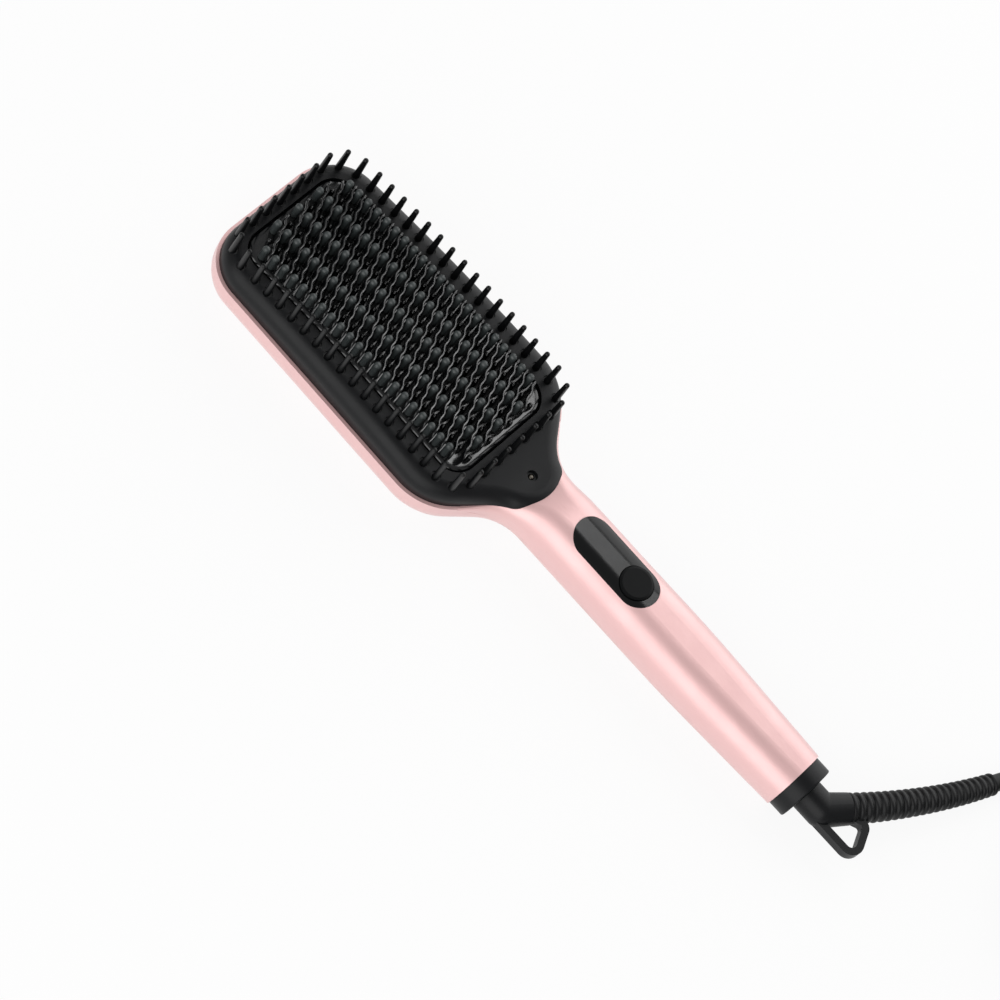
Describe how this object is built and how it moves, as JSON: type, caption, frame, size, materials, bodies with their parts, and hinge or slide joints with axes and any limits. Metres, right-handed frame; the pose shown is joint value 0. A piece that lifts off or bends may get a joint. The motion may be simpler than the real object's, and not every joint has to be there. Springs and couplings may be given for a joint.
{
  "type": "heated paddle hair brush",
  "caption": "Heated paddle hair-straightening brush with a finned hot plate, pin border, tapered handle, window with push button, and a swivelling mains lead with hanging loop.",
  "frame": {"origin": "middle of the head, on the plane that the housing's back lies on", "axes": "+X from the head along the handle to the lead, +Z the way the pins stand, away from the back"},
  "size_m": [0.4492, 0.1607, 0.0386],
  "materials": {
    "rose_shell": "satin pearl rose lacquer on ABS",
    "black_satin": "satin black moulding",
    "black_nylon": "semi-matt black nylon",
    "coated_aluminium": "die cast, with a glossy black ceramic coat",
    "grey_nylon": "dark grey heat-resistant nylon",
    "element_ceramic": "white fired alumina",
    "mica": "pressed mica sheet",
    "steel_sheet": "plain",
    "screw_steel": "zinc plated",
    "heat_resin": "glass-filled heat-resistant resin",
    "sensor_glass": "glass bead thermistor",
    "brass_pin": "plain",
    "black_resin": "moulded",
    "gloss_lens": "polished black window",
    "button_black": "semi-gloss",
    "circuit_board": "green solder mask on glass fibre laminate",
    "display_dark": "display segments, unlit",
    "capacitor_red": "dipped",
    "capacitor_can": "sleeved can",
    "silicone_lead": "silicone insulated wire",
    "ribbon_grey": "flat cable",
    "black_vinyl": "semi-matt PVC",
    "tie_black": "soft strap",
    "plug_nickel": "nickel plated"
  },
  "bodies": {
    "brush": {"rear_housing": "rose_shell", "handle_cover": "rose_shell", "face_plate": "black_satin", "outer_pins": "black_nylon", "pin_carrier": "black_nylon", "heater_plate": "coated_aluminium", "cool_tips": "grey_nylon", "heating_elements": "element_ceramic", "mica_sheet": "mica", "heater_clamp": "steel_sheet", "clamp_screws": "screw_steel", "heater_tray": "heat_resin", "tray_screws": "screw_steel", "thermal_fuse": "steel_sheet", "temperature_sensor": "sensor_glass", "heat_shield": "mica", "ion_emitter": "brass_pin", "ion_generator": "black_resin", "control_lens": "gloss_lens", "control_board": "circuit_board", "board_screws": "screw_steel", "display_module": "display_dark", "tact_switch": "black_resin", "power_board": "circuit_board", "film_capacitor": "capacitor_red", "smoothing_capacitor": "capacitor_can", "end_collar": "black_satin", "contact_base": "black_resin", "slip_contacts": "brass_pin", "heater_leads": "silicone_lead", "ion_lead": "silicone_lead", "mains_leads": "silicone_lead", "board_ribbon": "ribbon_grey"},
    "button": {"power_button": "button_black", "switch_plunger": "button_black"},
    "lead": {"swivel_elbow": "black_satin", "strain_relief": "black_vinyl", "slip_rings": "brass_pin", "swivel_clip": "steel_sheet", "power_cord": "black_vinyl", "cord_coil": "black_vinyl", "cord_tail": "black_vinyl", "cord_tie": "tie_black", "plug_body": "black_vinyl", "plug_pins": "plug_nickel"}
  },
  "joints": [
    {"name": "power_button_press", "type": "slide", "parent": "brush", "child": "button", "axis": [0, 0, -1], "range_m": [0, 0.0007], "stiffness_N_per_m": 1500, "springref_m": -0.0007},
    {"name": "cord_swivel", "type": "hinge", "parent": "brush", "child": "lead", "pos_m": [0.2163, 0, 0.0115], "axis": [1, 0, 0], "continuous": true}
  ]
}
